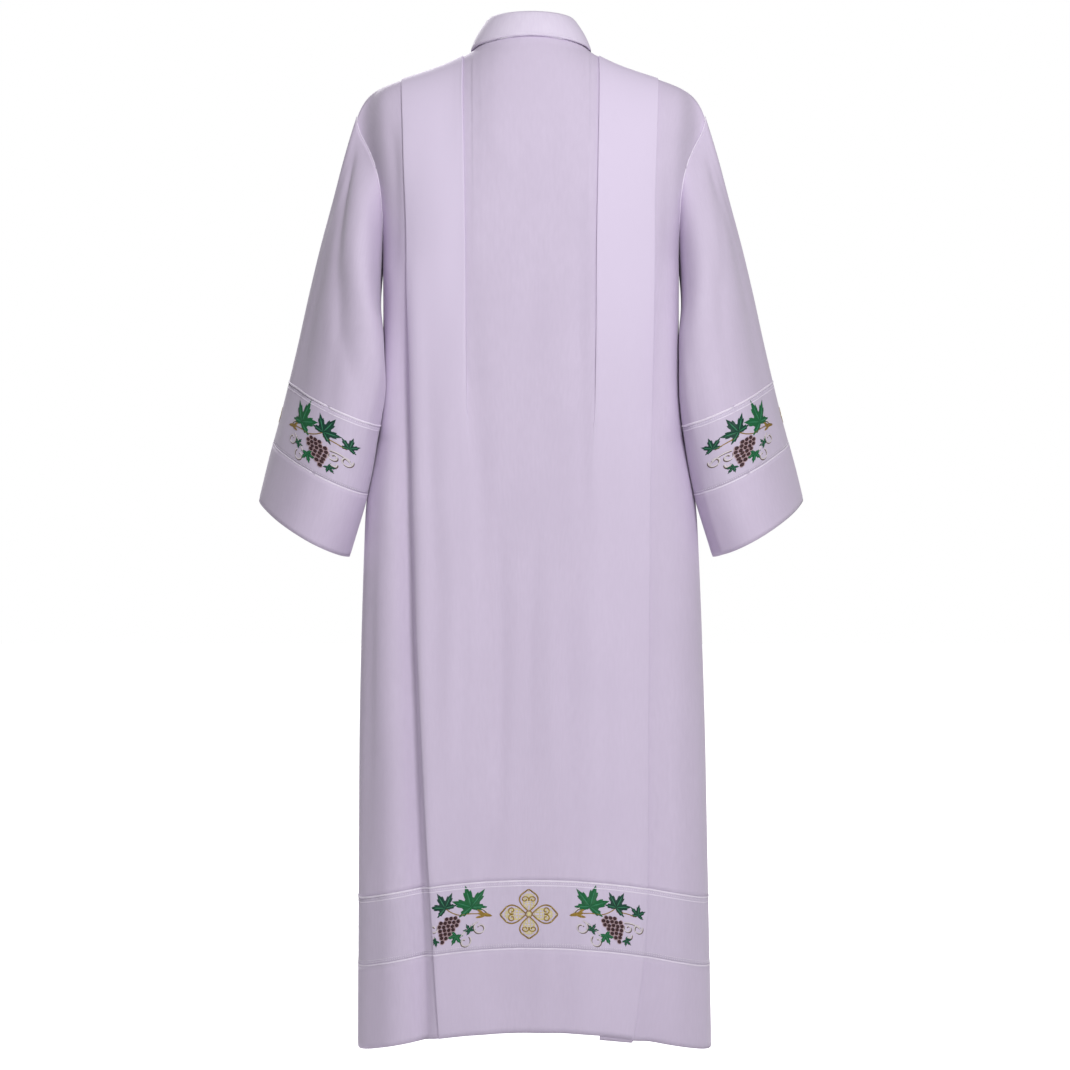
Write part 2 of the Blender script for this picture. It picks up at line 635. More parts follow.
def sleeve_point(side, turn, at):
    """The sleeve: its ring with folds and creases, held off the body that it hangs against."""
    turn, at = both_float(turn, at)
    made = sleeve_section(turn, at)
    fade = (1 - ease(at / ARMHOLE_FADE))[..., None]
    made = made + fade * (armhole_point(side, turn) - sleeve_section(turn, 0 * at))
    waves = 0.35 * np.sin(3 * turn + 4 * at) + 0.25 * np.sin(7 * turn - 2.6 * at + side)
    out = round_folds(SLEEVE_FOLDS, turn, at) + round_folds(SLEEVE_CREASES, turn, at) + waves
    out = out + round_folds(DRAG, turn, at) * (1 if side > 0 else DRAG_ON_RIGHT)
    if side < 0:
        away = np.abs(degrees_past(turn, PRESSED_AT))
        out = out + PRESSED_OUT * np.exp(-away / PRESSED_WIDE) * ease((at - 1.6) / 0.6)
    made = made + vec(np.sin(turn), np.cos(turn), 0) * (out * ease(at / 0.2))[..., None]
    inside = body_reach(side, made[..., 1], made[..., 2]) + BESIDE_CLEAR - made[..., 0]
    below = ease((UNDERARM + 8 - made[..., 2]) / 16) * ease(at / 0.06)
    made[..., 0] += np.maximum(inside, 0) * below
    return made * np.array([side, 1, 1])


# ---- Collar ----
# angle goes round the neck: 0 centre back, 90 degrees the wearer's left, 180 centre front.
def collar_point(angle, up):
    """From the neckline's edge, moved out from the panels, to the top ring, slightly bulged."""
    angle, up = both_float(angle, up)
    x = NECK_HALF * np.sin(angle)
    turn = np.sign(x) * turn_at(np.abs(x) / TOP_SPREAD, UNDERARM)
    out = CLOTH / 2 + COLLAR_THICK / 2 + COLLAR_PROUD
    down = np.full(turn.shape, COLLAR_DOWN)
    feet = [body_surface(p, turn, down) + body_normal(p, turn, down) * out for p in (1, -1)]
    behind = np.cos(angle) >= 0
    foot = np.where(behind[..., None], feet[0], feet[1])
    deep = np.where(behind, COLLAR_TOP["back"], COLLAR_TOP["front"])
    rise = np.where(behind, COLLAR_TOP["back_up"], COLLAR_TOP["front_up"])
    top = vec(
        COLLAR_TOP["half"] * np.sin(angle),
        SEAM_Y + deep * np.cos(angle),
        mix(COLLAR_TOP["side_up"], rise, np.cos(angle) ** 2),
    )
    lapped = ease((angle - (np.pi - 2.5 * COLLAR_LAP)) / (1.5 * COLLAR_LAP))
    bulge = COLLAR_BULGE * np.sin(np.pi * up) + COLLAR_LAP_OUT * lapped
    outward = vec(np.sin(angle), np.cos(angle), 0)
    return mix(foot, top, up[..., None]) + outward * bulge[..., None]


# ---- Meshes ----
def grid_normals(grid, closed=False):
    """Unit normals of a grid of points: the cross product of its central differences."""
    across = np.gradient(grid, axis=1)
    if closed:
        across = np.roll(grid, -1, 1) - np.roll(grid, 1, 1)
    return unit(np.cross(across, np.gradient(grid, axis=0)))


def all_round(grid, closed):
    """A grid with its first column again at its end where it is closed."""
    return np.concatenate([grid, grid[:, :1]], 1) if closed else grid


def lengths(grid, closed):
    """Mean lengths in millimetres from the first column and from the first row."""
    wide = all_round(grid, closed)
    across = np.linalg.norm(np.diff(wide, axis=1), axis=2).mean(0)
    along = np.linalg.norm(np.diff(grid, axis=0), axis=2).mean(1)
    return np.append(0, np.cumsum(across)), np.append(0, np.cumsum(along))


def shell(grid, thick, closed=False):
    """A closed wall on a grid of middle points: points, quads and a UV for each quad's corner.

    The two faces are the grid moved by half the thickness along its normals, which may be an
    array, and rims of quads join them at the open edges. UVs are millimetres of cloth.
    """
    rows, columns = grid.shape[:2]
    away = grid_normals(grid, closed) * (np.asarray(thick) / 2 * np.ones((rows, columns)))[..., None]
    points = np.concatenate([(grid + away).reshape(-1, 3), (grid - away).reshape(-1, 3)])
    u, v = lengths(grid, closed)
    spans = columns if closed else columns - 1

    def quads(i, j, face):
        index = np.asarray(face) * rows * columns + i * columns + j % columns
        return index, np.stack([u[j], v[i]], -1)

    i, j = (a.ravel() for a in np.meshgrid(np.arange(rows - 1), np.arange(spans), indexing="ij"))
    front = quads(np.stack([i, i, i + 1, i + 1], 1), np.stack([j, j + 1, j + 1, j], 1), 0)
    inside = quads(np.stack([i, i + 1, i + 1, i], 1), np.stack([j, j, j + 1, j + 1], 1), 1)
    made = [front, inside]
    j = np.arange(spans)
    for row, faces in ((0, [0, 0, 1, 1]), (rows - 1, [1, 1, 0, 0])):
        made.append(quads(np.full((spans, 4), row), np.stack([j + 1, j, j, j + 1], 1), faces))
    i = np.arange(rows - 1)
    for column, faces in ((0, [0, 0, 1, 1]), (columns - 1, [1, 1, 0, 0])):
        if not closed:
            corners = np.full((rows - 1, 4), column)
            made.append(quads(np.stack([i, i + 1, i + 1, i], 1), corners, faces))
    faces = np.concatenate([quad for quad, _ in made])
    return points, [faces], np.concatenate([corner for _, corner in made]).reshape(-1, 2)


def skin(rings, uv=None):
    """A closed surface on rings of points, with a flat face at each end; UVs are millimetres."""
    rows, sides = rings.shape[:2]
    i, j = (a.ravel() for a in np.meshgrid(np.arange(rows - 1), np.arange(sides), indexing="ij"))
    k = (j + 1) % sides
    quads = np.stack([i * sides + j, i * sides + k, (i + 1) * sides + k, (i + 1) * sides + j], 1)
    ends = np.stack([np.arange(sides)[::-1], (rows - 1) * sides + np.arange(sides)])
    if uv is None:
        around, along = lengths(rings, True)
        uv = np.stack(np.meshgrid(along, around[:-1], indexing="ij"), -1)
    flat = uv.reshape(-1, 2)
    faces = [quads, ends]
    return rings.reshape(-1, 3), faces, np.concatenate([flat[block.ravel()] for block in faces])


def tube(path, normal, wide, high, sides=8, tip=0.3):
    """A cord along a path: ovals of half axes wide and high, tapered at the two ends."""
    forward = unit(np.gradient(path, axis=0))
    across = unit(np.cross(forward, normal))
    out = np.cross(across, forward)
    turn = np.arange(sides)[:, None] / sides * 2 * np.pi
    oval = wide * np.cos(turn) * across[:, None] + high * np.sin(turn) * out[:, None]
    share = np.ones((len(path), 1, 1))
    share[[0, -1]] = tip
    return skin(path[:, None] + share * oval)


STITCH_EVERY, STITCH_LONG = 3.2, 2.5


def stitches(path, normal, wide=0.4, high=0.35):
    """Short threads along a path: eight-sided grains that stand half out of the cloth."""
    run = run_along(path)
    middles = np.arange(STITCH_EVERY, run[-1] - STITCH_EVERY / 2, STITCH_EVERY)
    place, up, ahead = (
        np.stack([np.interp(middles, run, values[:, k]) for k in range(3)], -1)
        for values in (path, normal, np.gradient(path, axis=0))
    )
    ahead, up = unit(ahead) * STITCH_LONG / 2, unit(up)
    side = unit(np.cross(up, ahead)) * wide
    up = up * high
    points = place[:, None] + np.stack([ahead, side, up, -side, -up, -ahead], 1)
    grain = [[0, 1, 2], [0, 2, 3], [0, 3, 4], [0, 4, 1], [5, 2, 1], [5, 3, 2], [5, 4, 3], [5, 1, 4]]
    faces = (np.arange(len(points))[:, None, None] * 6 + np.array(grain)).reshape(-1, 3)
    return points.reshape(-1, 3), [faces], points.reshape(-1, 3)[faces.ravel()][:, :2]


def volume(points, faces):
    """Six times the signed volume that the faces hold, each as a fan of triangles."""
    total = 0.0
    for block in faces:
        corner = points[block]
        for k in range(1, block.shape[1] - 1):
            total += np.sum(corner[:, 0] * np.cross(corner[:, k], corner[:, k + 1]))
    return total


def turned_out(part):
    """A closed surface with its faces turned outward."""
    points, faces, corners = part
    if volume(points, faces) >= 0:
        return part
    pieces = np.split(corners, np.cumsum([block.size for block in faces])[:-1])
    turned = [c.reshape(*f.shape, 2)[:, ::-1].reshape(-1, 2) for c, f in zip(pieces, faces)]
    return points, [block[:, ::-1] for block in faces], np.concatenate(turned)


def joined(parts):
    """Several closed surfaces as one, each turned outward, their indices moved on."""
    parts = [turned_out(part) for part in parts]
    starts = np.cumsum([0] + [len(points) for points, _, _ in parts])
    faces = [block + start for (_, blocks, _), start in zip(parts, starts) for block in blocks]
    return np.concatenate([p for p, _, _ in parts]), faces, np.concatenate([c for _, _, c in parts])


def new_object(name, data):
    """An object of some data, linked to the scene."""
    made = bpy.data.objects.new(name, data)
    bpy.context.scene.collection.objects.link(made)
    return made


def add_piece(name, parts, material, slot, replaces=(), doubling=None):
    """Makes the object: metres, smooth, with the UV map that the weaves and threads read."""
    points, faces, corners = joined(parts)
    mesh = bpy.data.meshes.new(name)
    mesh.from_pydata((points / 1000).tolist(), [], [f for block in faces for f in block.tolist()])
    uv = mesh.uv_layers.new(name="cloth")
    uv.data.foreach_set("uv", corners.reshape(-1).astype(np.float32))
    mesh.polygons.foreach_set("use_smooth", np.ones(len(mesh.polygons), bool))
    if doubling is not None:
        layers = mesh.attributes.new("doubled", "FLOAT", "POINT")
        layers.data.foreach_set("value", np.tile(doubling.ravel(), 2).astype(np.float32))
    mesh.update()
    piece = new_object(name, mesh)
    mesh.materials.append(material)
    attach(piece, "root")
    for node in replaces:
        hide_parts(node)
    return piece


# ---- Materials ----
def srgb(text):
    """An sRGB hex colour as linear RGBA."""
    value = np.array([int(text[k : k + 2], 16) for k in (1, 3, 5)]) / 255
    linear = np.where(value <= 0.04045, value / 12.92, ((value + 0.055) / 1.055) ** 2.4)
    return (*linear, 1.0)


def new_material(name):
    """A material with its node tree and the shader that it starts with."""
    material = bpy.data.materials.new(name)
    material.use_nodes = True
    return material, material.node_tree, material.node_tree.nodes["Principled BSDF"]


def add(tree, kind, links=(), values=(), **settings):
    """Adds a node: settings are its properties, values its sockets, links (socket, source)."""
    node = tree.nodes.new(kind)
    for key, value in settings.items():
        setattr(node, key, value)
    for socket, value in dict(values).items():
        node.inputs[socket].default_value = value
    for socket, source in dict(links).items():
        tree.links.new(node.inputs[socket], source)
    return node


ONE_BAND = 6.2832 / 20  # a wave texture's scale at which a band is one unit wide
RELIEF_METRES = 0.0004  # height of a bump at a strength of 1
WEAVE_THREAD = 1.5  # millimetres from thread to thread
BACKED_TONE = "#e0d3eb"  # of the cloth where more layers back it


def noise(tree, where, scale, detail):
    """The value of a noise texture."""
    node = add(tree, "ShaderNodeTexNoise", {"Vector": where}, {"Scale": scale, "Detail": detail})
    return node.outputs["Fac"]


def bands(tree, where, thread, way, distortion, detail):
    """The value of a wave texture with a band to each thread."""
    node = add(
        tree,
        "ShaderNodeTexWave",
        {"Vector": where},
        {"Scale": ONE_BAND / thread, "Distortion": distortion, "Detail": detail},
        wave_type="BANDS",
        bands_direction=way,
    )
    return node.outputs["Fac"]


def combined(tree, one, other, how="MULTIPLY"):
    """Two values multiplied or added."""
    return add(tree, "ShaderNodeMath", {0: one, 1: other}, operation=how).outputs["Value"]


def stretched(tree, value, low, high):
    """A value whose range from low to high becomes 0 to 1, held between them."""
    node = add(tree, "ShaderNodeMapRange", {"Value": value}, {"From Min": low, "From Max": high})
    return node.outputs["Result"]


def blended(tree, share, one, other):
    """A colour between two, each an sRGB hex text or a socket."""
    links, values = {"Factor": share}, {}
    for socket, colour in ((6, one), (7, other)):
        if isinstance(colour, str):
            values[socket] = srgb(colour)
        else:
            links[socket] = colour
    return add(tree, "ShaderNodeMix", links, values, data_type="RGBA").outputs[2]


def finished(tree, shader, colour, height, bump, values):
    """Links a shader's colour and its relief, and sets its other values."""
    raised = add(
        tree, "ShaderNodeBump", {"Height": height}, {"Strength": bump, "Distance": RELIEF_METRES}
    )
    tree.links.new(shader.inputs["Base Color"], colour)
    tree.links.new(shader.inputs["Normal"], raised.outputs["Normal"])
    for socket, value in values.items():
        shader.inputs[socket].default_value = value


def woven(name, pale, deep):
    """Plain-weave polyester-cotton: matt, faintly sheened, its threads drawn 1.5 mm apart.

    The real threads are 0.4 mm apart, too fine to show. Broad clouds of a second colour are
    where the cloth is a little thinner, and stretched ones are the slubs in its threads. The
    cloth is sheer enough that it looks paler where a pleat backs it with more layers.
    """
    material, tree, shader = new_material(name)
    cloth = add(tree, "ShaderNodeUVMap", uv_map="cloth").outputs["UV"]
    place = add(tree, "ShaderNodeTexCoord").outputs["Object"]
    slub_way = add(tree, "ShaderNodeMapping", {"Vector": cloth}, {"Scale": (0.3, 0.05, 1.0)})
    slubs = noise(tree, slub_way.outputs["Vector"], 1.0, 2.0)
    share = stretched(tree, combined(tree, noise(tree, place, 9.0, 3.0), slubs), 0.08, 0.46)
    layers = add(tree, "ShaderNodeAttribute", attribute_name="doubled").outputs["Fac"]
    colour = blended(tree, layers, blended(tree, share, deep, pale), BACKED_TONE)
    across, along = (bands(tree, cloth, WEAVE_THREAD, way, 0.6, 1.0) for way in "XY")
    height = combined(tree, slubs, combined(tree, across, along), "ADD")
    values = {"Roughness": 0.78, "Sheen Weight": 0.25, "Sheen Roughness": 0.45}
    finished(tree, shader, colour, height, 0.06, {**values, "Specular IOR Level": 0.25})
    return material


def stitched(name, pale, deep, thread=1.1, roughness=0.5, metal=0.0):
    """Rayon or lurex embroidery: rows of glossy satin stitches, drawn 1.1 mm apart."""
    material, tree, shader = new_material(name)
    cloth = add(tree, "ShaderNodeUVMap", uv_map="cloth").outputs["UV"]
    rows = bands(tree, cloth, thread, "X", 1.2, 2.0)
    share = stretched(tree, combined(tree, rows, noise(tree, cloth, 0.16, 2.0)), 0.05, 0.5)
    values = {"Roughness": roughness, "Specular IOR Level": 0.4, "Metallic": metal}
    finished(tree, shader, blended(tree, share, deep, pale), rows, 0.5, values)
    return material


CLOTH_MAT = woven("lilac_poly_cotton", "#d7cae1", "#d1c4db")
BAND_MAT = woven("lilac_band_cloth", "#d6cae0", "#cec2d8")
COLLAR_MAT = woven("lilac_stiffened_collar", "#e8def1", "#e0d4ea")
SEAM_MAT = woven("lilac_folded_seam", "#f6eefb", "#ebe1f3")
THREAD_MAT = stitched("lilac_sewing_thread", "#fdfbff", "#efe8f6")
LEAF_MAT = stitched("bright_leaf_rayon", "#157c41", "#084c31")
DARK_LEAF_MAT = stitched("dark_leaf_rayon", "#0f523e", "#053027")
VEIN_MAT = stitched("leaf_vein_rayon", "#4fa57a", "#26744d")
GRAPE_MAT = stitched("grape_rayon", "#4e2a32", "#2b181c", thread=0.9)
GRAPE_RIM_MAT = stitched("grape_outline_rayon", "#d8bfc2", "#9c7a80")
GOLD_MAT = stitched("gold_thread", "#c4a24c", "#7a5d26", roughness=0.35, metal=0.35)
PALE_GOLD_MAT = stitched("pale_gold_thread", "#f0e6b4", "#d3c382", roughness=0.4, metal=0.1)
CREAM_MAT = stitched("cream_rayon", "#f3eef0", "#cfc3c6")
BRONZE_MAT = stitched("bronze_rayon", "#7c665b", "#4d3d38")


def polyester_button():
    """Cast polyester: a smooth gloss with faint pearly clouds, as pearl dust settles in it."""
    material, tree, shader = new_material("pearly_polyester_button")
    place = add(tree, "ShaderNodeTexCoord").outputs["Object"]
    colour = blended(tree, noise(tree, place, 420.0, 3.0), "#d9cfe4", "#f3eef8")
    tree.links.new(shader.inputs["Base Color"], colour)
    shader.inputs["Roughness"].default_value = 0.28
    shader.inputs["Coat Weight"].default_value = 0.3
    return material


BUTTON_MAT = polyester_button()

# ---- The cloth pieces ----
ROW_STEP = 8.0  # millimetres between the rows of a cloth grid


def levels_between(first, last):
    """Levels from one to another, about a row step of cloth apart."""
    heights = [0, *EDGES["side"]]
    made = [np.array([float(first)])]
    for k in range(first, last):
        rows = round((heights[k] - heights[k + 1]) / ROW_STEP)
        made.append(k + np.arange(1, rows + 1) / rows)
    return np.concatenate(made)


HEM_THICK, HEM_FOLD_THICK = 1.3, 0.4  # cloth laid double, and its rounded lower edge


def hemmed(grid):
    """Thickness of a deep turned-up hem, row by row."""
    thick = np.full(grid.shape[:2], HEM_THICK)
    thick[-1] = HEM_FOLD_THICK
    return thick


def cloth_area(grid):
    """Square metres of cloth: half the cross products of each quad's diagonals."""
    one, other = grid[1:, 1:] - grid[:-1, :-1], grid[1:, :-1] - grid[:-1, 1:]
    return np.linalg.norm(np.cross(one, other), axis=-1).sum() / 2e6


def declare_sheet(grid, closed):
    wide = all_round(grid, closed)
    width = np.linalg.norm(np.diff(wide, axis=1), axis=2).sum(1).max() / 1000
    length = np.linalg.norm(np.diff(wide, axis=0), axis=2).sum(0).max() / 1000
    area = min(cloth_area(wide), width * length)


grids, pieces = {}, {}
for panel_name, panel in (("back", 1), ("front", -1)):
    for suffix, first, last, material, slot in (
        ("", 0, 2, CLOTH_MAT, "body_cloth"),
        ("_band", 2, 3, BAND_MAT, "band_cloth"),
        ("_hem", 3, 4, CLOTH_MAT, "body_cloth"),
    ):
        node = panel_name + suffix
        levels = levels_between(first, last)
        grid = panel_grid(panel, levels)
        made = shell(grid, hemmed(grid) if suffix == "_hem" else SHEER)
        layers = doubled(panel, levels) if panel > 0 else None
        pieces[node] = add_piece(node + "_cloth", [made], material, slot, [node], layers)
        grids[node] = grid, False

SLEEVE_COLUMNS = 112
ROUND = np.arange(SLEEVE_COLUMNS) / SLEEVE_COLUMNS * 2 * np.pi
for side_name, side in (("left", 1), ("right", -1)):
    for part, first, last, rows, material, slot in (
        ("sleeve", 0, 1, 58, CLOTH_MAT, "body_cloth"),
        ("sleeve_band", 1, 2, 14, BAND_MAT, "band_cloth"),
        ("cuff", 2, 3, 14, CLOTH_MAT, "body_cloth"),
    ):
        node = f"{part}_{side_name}"
        grid = sleeve_point(side, ROUND, np.linspace(first, last, rows)[:, None])
        made = shell(grid, hemmed(grid) if part == "cuff" else SHEER, closed=True)
        pieces[node] = add_piece(node + "_cloth", [made], material, slot, [node])
        grids[node] = grid, True

# The collar's edges are rounded: its thickness falls off at its top, foot and two ends.
COLLAR_COLUMNS = 190
collar_span = np.linspace(-1, 1, COLLAR_COLUMNS)
collar_ups = np.linspace(1, 0, 15)[:, None]
collar_grid = collar_point(collar_span * (np.pi + COLLAR_LAP), collar_ups)
rounded = np.sqrt(1 - np.minimum(np.abs(collar_ups * 2 - 1), 0.97) ** 12)
rounded = rounded * np.sqrt(1 - np.minimum(np.abs(collar_span), 0.998) ** 90)
pieces["collar"] = add_piece(
    "collar_stand", [shell(collar_grid, COLLAR_THICK * rounded)], COLLAR_MAT, "collar_cloth", ["collar"]
)
grids["collar"] = collar_grid, False

PLACKET_HALF = turn_at(NECK_HALF / TOP_SPREAD * np.sin(NECK_LANES[1]), UNDERARM)
PLACKET_OUT = SHEER / 2 + PLACKET_THICK  # its face, above the front's middle surface
placket_levels = np.linspace(PLACKET_TOP, 1, 60)[:, None]
placket_turns = np.linspace(-1, 1, 9) * PLACKET_HALF
placket = body_point(-1, placket_turns, placket_levels, np.full(9, PLACKET_OUT - PLACKET_THICK / 2))
thick = np.full(placket.shape[:2], PLACKET_THICK)
thick[[0, -1]] = thick[:, [0, -1]] = PLACKET_EDGE
pieces["placket"] = add_piece(
    "placket_strip", [shell(placket, thick)], CLOTH_MAT, "body_cloth", ["placket"]
)
grids["placket"] = placket, False


# ---- Seams and stitching ----
def panel_line(panel, level):
    """A line across a panel at a level, on its cloth's outer face, and its normals."""
    grid = panel_grid(panel, level + np.array([-0.01, 0, 0.01]))
    normal = panel * grid_normals(grid)[1]
    return grid[1] + normal * SHEER / 2, normal


def sleeve_line(side, at):
    """A line round a sleeve, on its outer face, and its normals."""
    turns = np.linspace(0, 2 * np.pi, SLEEVE_COLUMNS + 1)
    grid = sleeve_point(side, turns, (at + np.array([-0.02, 0, 0.02]))[:, None])
    normal = side * grid_normals(grid)[1]
    return grid[1] + normal * SHEER / 2, normal


SHOULDER_JOINT = 150


def armhole_line(side):
    """The armhole seam, and level directions away from the wearer's shoulder joint."""
    turns = np.linspace(0, 2 * np.pi, 161)
    path = armhole_point(side, turns)
    out = unit((path - np.array([SHOULDER_JOINT, SEAM_Y, 0])) * np.array([1, 1, 0]))
    return path * np.array([side, 1, 1]), out * np.array([side, 1, 1])


# Rolls on the seams of the bands and a cord beside the upper one, as places, half widths and
# half heights, and rows of stitches between them.
seams, threads = [], []
for panel in (1, -1):
    for level, wide, high in ((2, 1.3, 0.8), (2.07, 0.6, 0.35), (3, 1.1, 0.6)):
        seams.append(tube(*panel_line(panel, level), wide, high))
    threads.append(stitches(*panel_line(panel, 2.035)))
    threads.append(stitches(*panel_line(panel, 2.96), wide=0.5, high=0.45))
    threads.append(stitches(*panel_line(panel, 2.93)))
for side in (1, -1):
    for at, wide, high in ((1, 1.5, 1.0), (1.06, 0.6, 0.35), (2, 1.1, 0.6)):
        seams.append(tube(*sleeve_line(side, at), wide, high))
    threads.append(stitches(*sleeve_line(side, 1.03)))
    threads.append(stitches(*sleeve_line(side, 1.96), wide=0.5, high=0.45))
    seams.append(tube(*armhole_line(side), 1.1, 0.7))
    levels = np.linspace(1, 4, 150)
    side_seam = body_point(1, np.full(150, side * QUARTER), levels, np.zeros(150))
    side_seam[:, 1] = 0
    seams.append(tube(side_seam, np.array([side, 0.0, 0.0]), 0.8, 0.7))
    turns = side * np.linspace(np.arcsin(NECK_HALF / TOP_SPREAD / BODY["half"][0]) + 0.01, QUARTER, 60)
    shoulder = top_edge(1, turns) * np.array([1, 0, 1]) + np.array([0, SEAM_Y, 0.3])
    seams.append(tube(shoulder, UP, 0.9, 0.7))
add_piece("seams", seams, SEAM_MAT, "body_cloth")

for up in (0.1, 0.9):
    span = collar_span * (np.pi + 0.7 * COLLAR_LAP)
    near = collar_point(span, np.array([up + 0.02, up, up - 0.02])[:, None])
    normal = grid_normals(near)[1]
    threads.append(stitches(near[1] + normal * COLLAR_THICK / 2, normal, high=0.25))
for edge in (-0.82, 0.82):
    levels = np.linspace(PLACKET_TOP + 0.01, 0.99, 120)
    turns = np.full(120, edge * PLACKET_HALF)
    path = body_point(-1, turns, levels, np.full(120, PLACKET_OUT))
    threads.append(stitches(path, body_normal(-1, turns, levels), high=0.25))
add_piece("sewing", threads, THREAD_MAT, "body_cloth")


# ---- Buttons ----
def frame_at(seat, facing):
    """Maps local points to a seat: x across, y upward, z along the facing."""
    across = unit(np.cross(UP, facing))
    axes = np.stack([across, np.cross(facing, across), facing])
    return lambda part: (part[0] @ axes + seat, part[1], part[2])


def button_body():
    """A turned disc with a raised rim, a dished middle and four holes sunk into it."""
    profile = np.array(
        [(0.3, 0), (5.0, 0), (5.8, 0.1), (6.3, 0.5), (6.5, 1.1), (6.45, 2.1), (6.2, 2.55), (5.8, 2.8)]
        + [(5.3, 2.75), (4.8, 2.4), (4.3, 2.1), (3.7, 2.0), (3.2, 1.96), (2.9, 1.95), (2.6, 1.94)]
        + [(2.3, 1.93), (2.0, 1.92), (1.7, 1.91), (1.4, 1.9), (1.1, 1.9), (0.7, 1.9), (0.3, 1.9)]
    )
    turn = np.arange(56) / 56 * 2 * np.pi
    x, y = profile[:, :1] * np.cos(turn), profile[:, :1] * np.sin(turn)
    height = np.broadcast_to(profile[:, 1:], x.shape)
    from_hole = np.hypot(np.abs(x) - 1.3, np.abs(y) - 1.3)
    sunk = 1.3 * ease((0.95 - from_hole) / 0.35) * (height > 1.5)
    return skin(vec(x, y, height - sunk))


def button_thread():
    """Two loops of thread from hole to hole, and the shank of thread below."""
    bow = np.linspace(-1, 1, 9)
    loops = [
        tube(vec(1.35 * bow, y, 2.35 - 1.1 * bow**4), UP, 0.4, 0.35)
        for y in (-1.3, -1.0, 1.0, 1.3)
    ]
    post = vec(0, 0, np.linspace(-0.9, 0.2, 3))
    return [*loops, tube(post, np.array([0.0, 1.0, 0.0]), 1.4, 1.4, tip=1)]


def seat_on_collar():
    """The collar button's seat, and the way it faces."""
    near = collar_point(np.pi, np.array([0.4, 0.5, 0.6]))
    up = unit(near[2] - near[0])
    out = np.cross(up, np.array([-1.0, 0, 0]))
    out = out * -np.sign(out[1])
    return near[1] + out * (COLLAR_THICK / 2 + COLLAR_BUTTON_OFF), out


def seat_on_placket(level):
    """A placket button's seat at a level, and the way it faces."""
    out = body_normal(-1, 0.0, level)
    return body_point(-1, 0.0, level, np.array(PLACKET_OUT + PLACKET_BUTTON_OFF)), out


button_seats = [seat_on_collar()] + [seat_on_placket(np.array(level)) for level in PLACKET_BUTTONS]
button_threads, eyelets = [], []
slot_way = np.linspace(0, 2 * np.pi, 40)
for number, (seat, facing) in enumerate(button_seats, 1):
    to_seat = frame_at(seat, facing)
    add_piece(f"button_{number}_disc", [to_seat(button_body())], BUTTON_MAT, "button", [f"button_{number}"])
    button_threads += [to_seat(part) for part in button_thread()]
    off = PLACKET_BUTTON_OFF if number > 1 else COLLAR_BUTTON_OFF
    eyelet = vec(EYELET_WIDE * np.cos(slot_way), EYELET_LONG * np.sin(slot_way), -off)
    eyelets.append(to_seat(tube(eyelet, UP, 0.5, 0.4)))
add_piece("button_threads", button_threads + eyelets, THREAD_MAT, "button")


# ---- Embroidery, drawn flat ----
# Local millimetres: u across, v up from the band's foot, and the height above the cloth.
def cord(path, wide, high, lift=0.0):
    """A line of satin stitch along a flat path."""
    return tube(vec(path[:, 0], path[:, 1], lift), UP, wide, high, sides=6)


def curl(centre, start, end, turn_from, turn_to, steps=26):
    """A spiral whose radius goes from start to end over a range of degrees."""
    t = np.linspace(0, 1, steps)
    turn = np.radians(mix(turn_from, turn_to, t))
    radius = mix(start, end, t)
    return np.stack([centre[0] + radius * np.cos(turn), centre[1] + radius * np.sin(turn)], -1)


def bow(first, middle, last, steps=18):
    """A flat curve from a first point to a last, drawn towards a middle one."""
    t = np.linspace(0, 1, steps)[:, None]
    first, middle, last = (np.array(p, float) for p in (first, middle, last))
    return (1 - t) ** 2 * first + 2 * t * (1 - t) * middle + t**2 * last


def dome(centre, outline, aim=0.0, high=0.7, groove=0.0, axes=(0.0,), sides=28, rings=5):
    """A filled shape: a low dome inside an outline radius(turn), grooved along its axes."""
    turn = np.arange(sides) / sides * 2 * np.pi
    share = np.sqrt(np.linspace(1, 0.003, rings))[:, None]
    radius = share * outline(turn)
    x, y = radius * np.cos(turn), radius * np.sin(turn)
    height = high * np.sqrt(1 - share**4) - 0.2 + 0 * x
    away = np.stack([np.where(np.cos(turn - a) > 0, np.abs(radius * np.sin(turn - a)), 9) for a in axes])
    nearest = away.min(0)
    height = height - groove * hump(nearest / 0.55) * (share < 0.9)
    spin = np.radians(aim)
    u = centre[0] + x * np.cos(spin) - y * np.sin(spin)
    v = centre[1] + x * np.sin(spin) + y * np.cos(spin)
    return skin(vec(u, v, height), np.stack([radius - 0.7 * nearest, y], -1))


LOBES = np.radians([0, 54, -54, 110, -110])
LOBE_LENGTHS = np.array([1, 0.94, 0.92, 0.7, 0.7])


def vine_leaf(centre, size, aim):
    """A toothed leaf of five pointed lobes round its stalk."""

    def outline(turn):
        away = np.abs(np.angle(np.exp(1j * (turn[None] - LOBES[:, None])))) / np.radians(27)
        reach = LOBE_LENGTHS[:, None] / (1 + (1.05 * away) ** 1.8) * (1 + 0.12 * np.cos(11 * away))
        return size * reach.max(0)

    return dome(centre, outline, aim, high=0.9, groove=0.45, axes=LOBES, sides=80, rings=8)


def veins(centre, size, aim):
    """A thread along each lobe of a leaf, on top of its stitches."""
    centre = np.array(centre, float)
    made = []
    for lobe, length in zip(LOBES + np.radians(aim), LOBE_LENGTHS * size * 0.8):
        way = np.array([np.cos(lobe), np.sin(lobe)])
        path = centre + way * np.linspace(0.04, 1, 5)[:, None] * length
        made.append(cord(path, 0.02 * size + 0.1, 0.3, lift=0.55))
    return made


def disc(radius):
    """A round outline."""
    return lambda turn: np.full(turn.shape, radius)


def almond(centre, long, wide, aim):
    """A pointed oval."""

    def outline(turn):
        return long * wide / np.hypot(wide * np.cos(turn), long * np.sin(turn))

    return dome(centre, outline, aim)


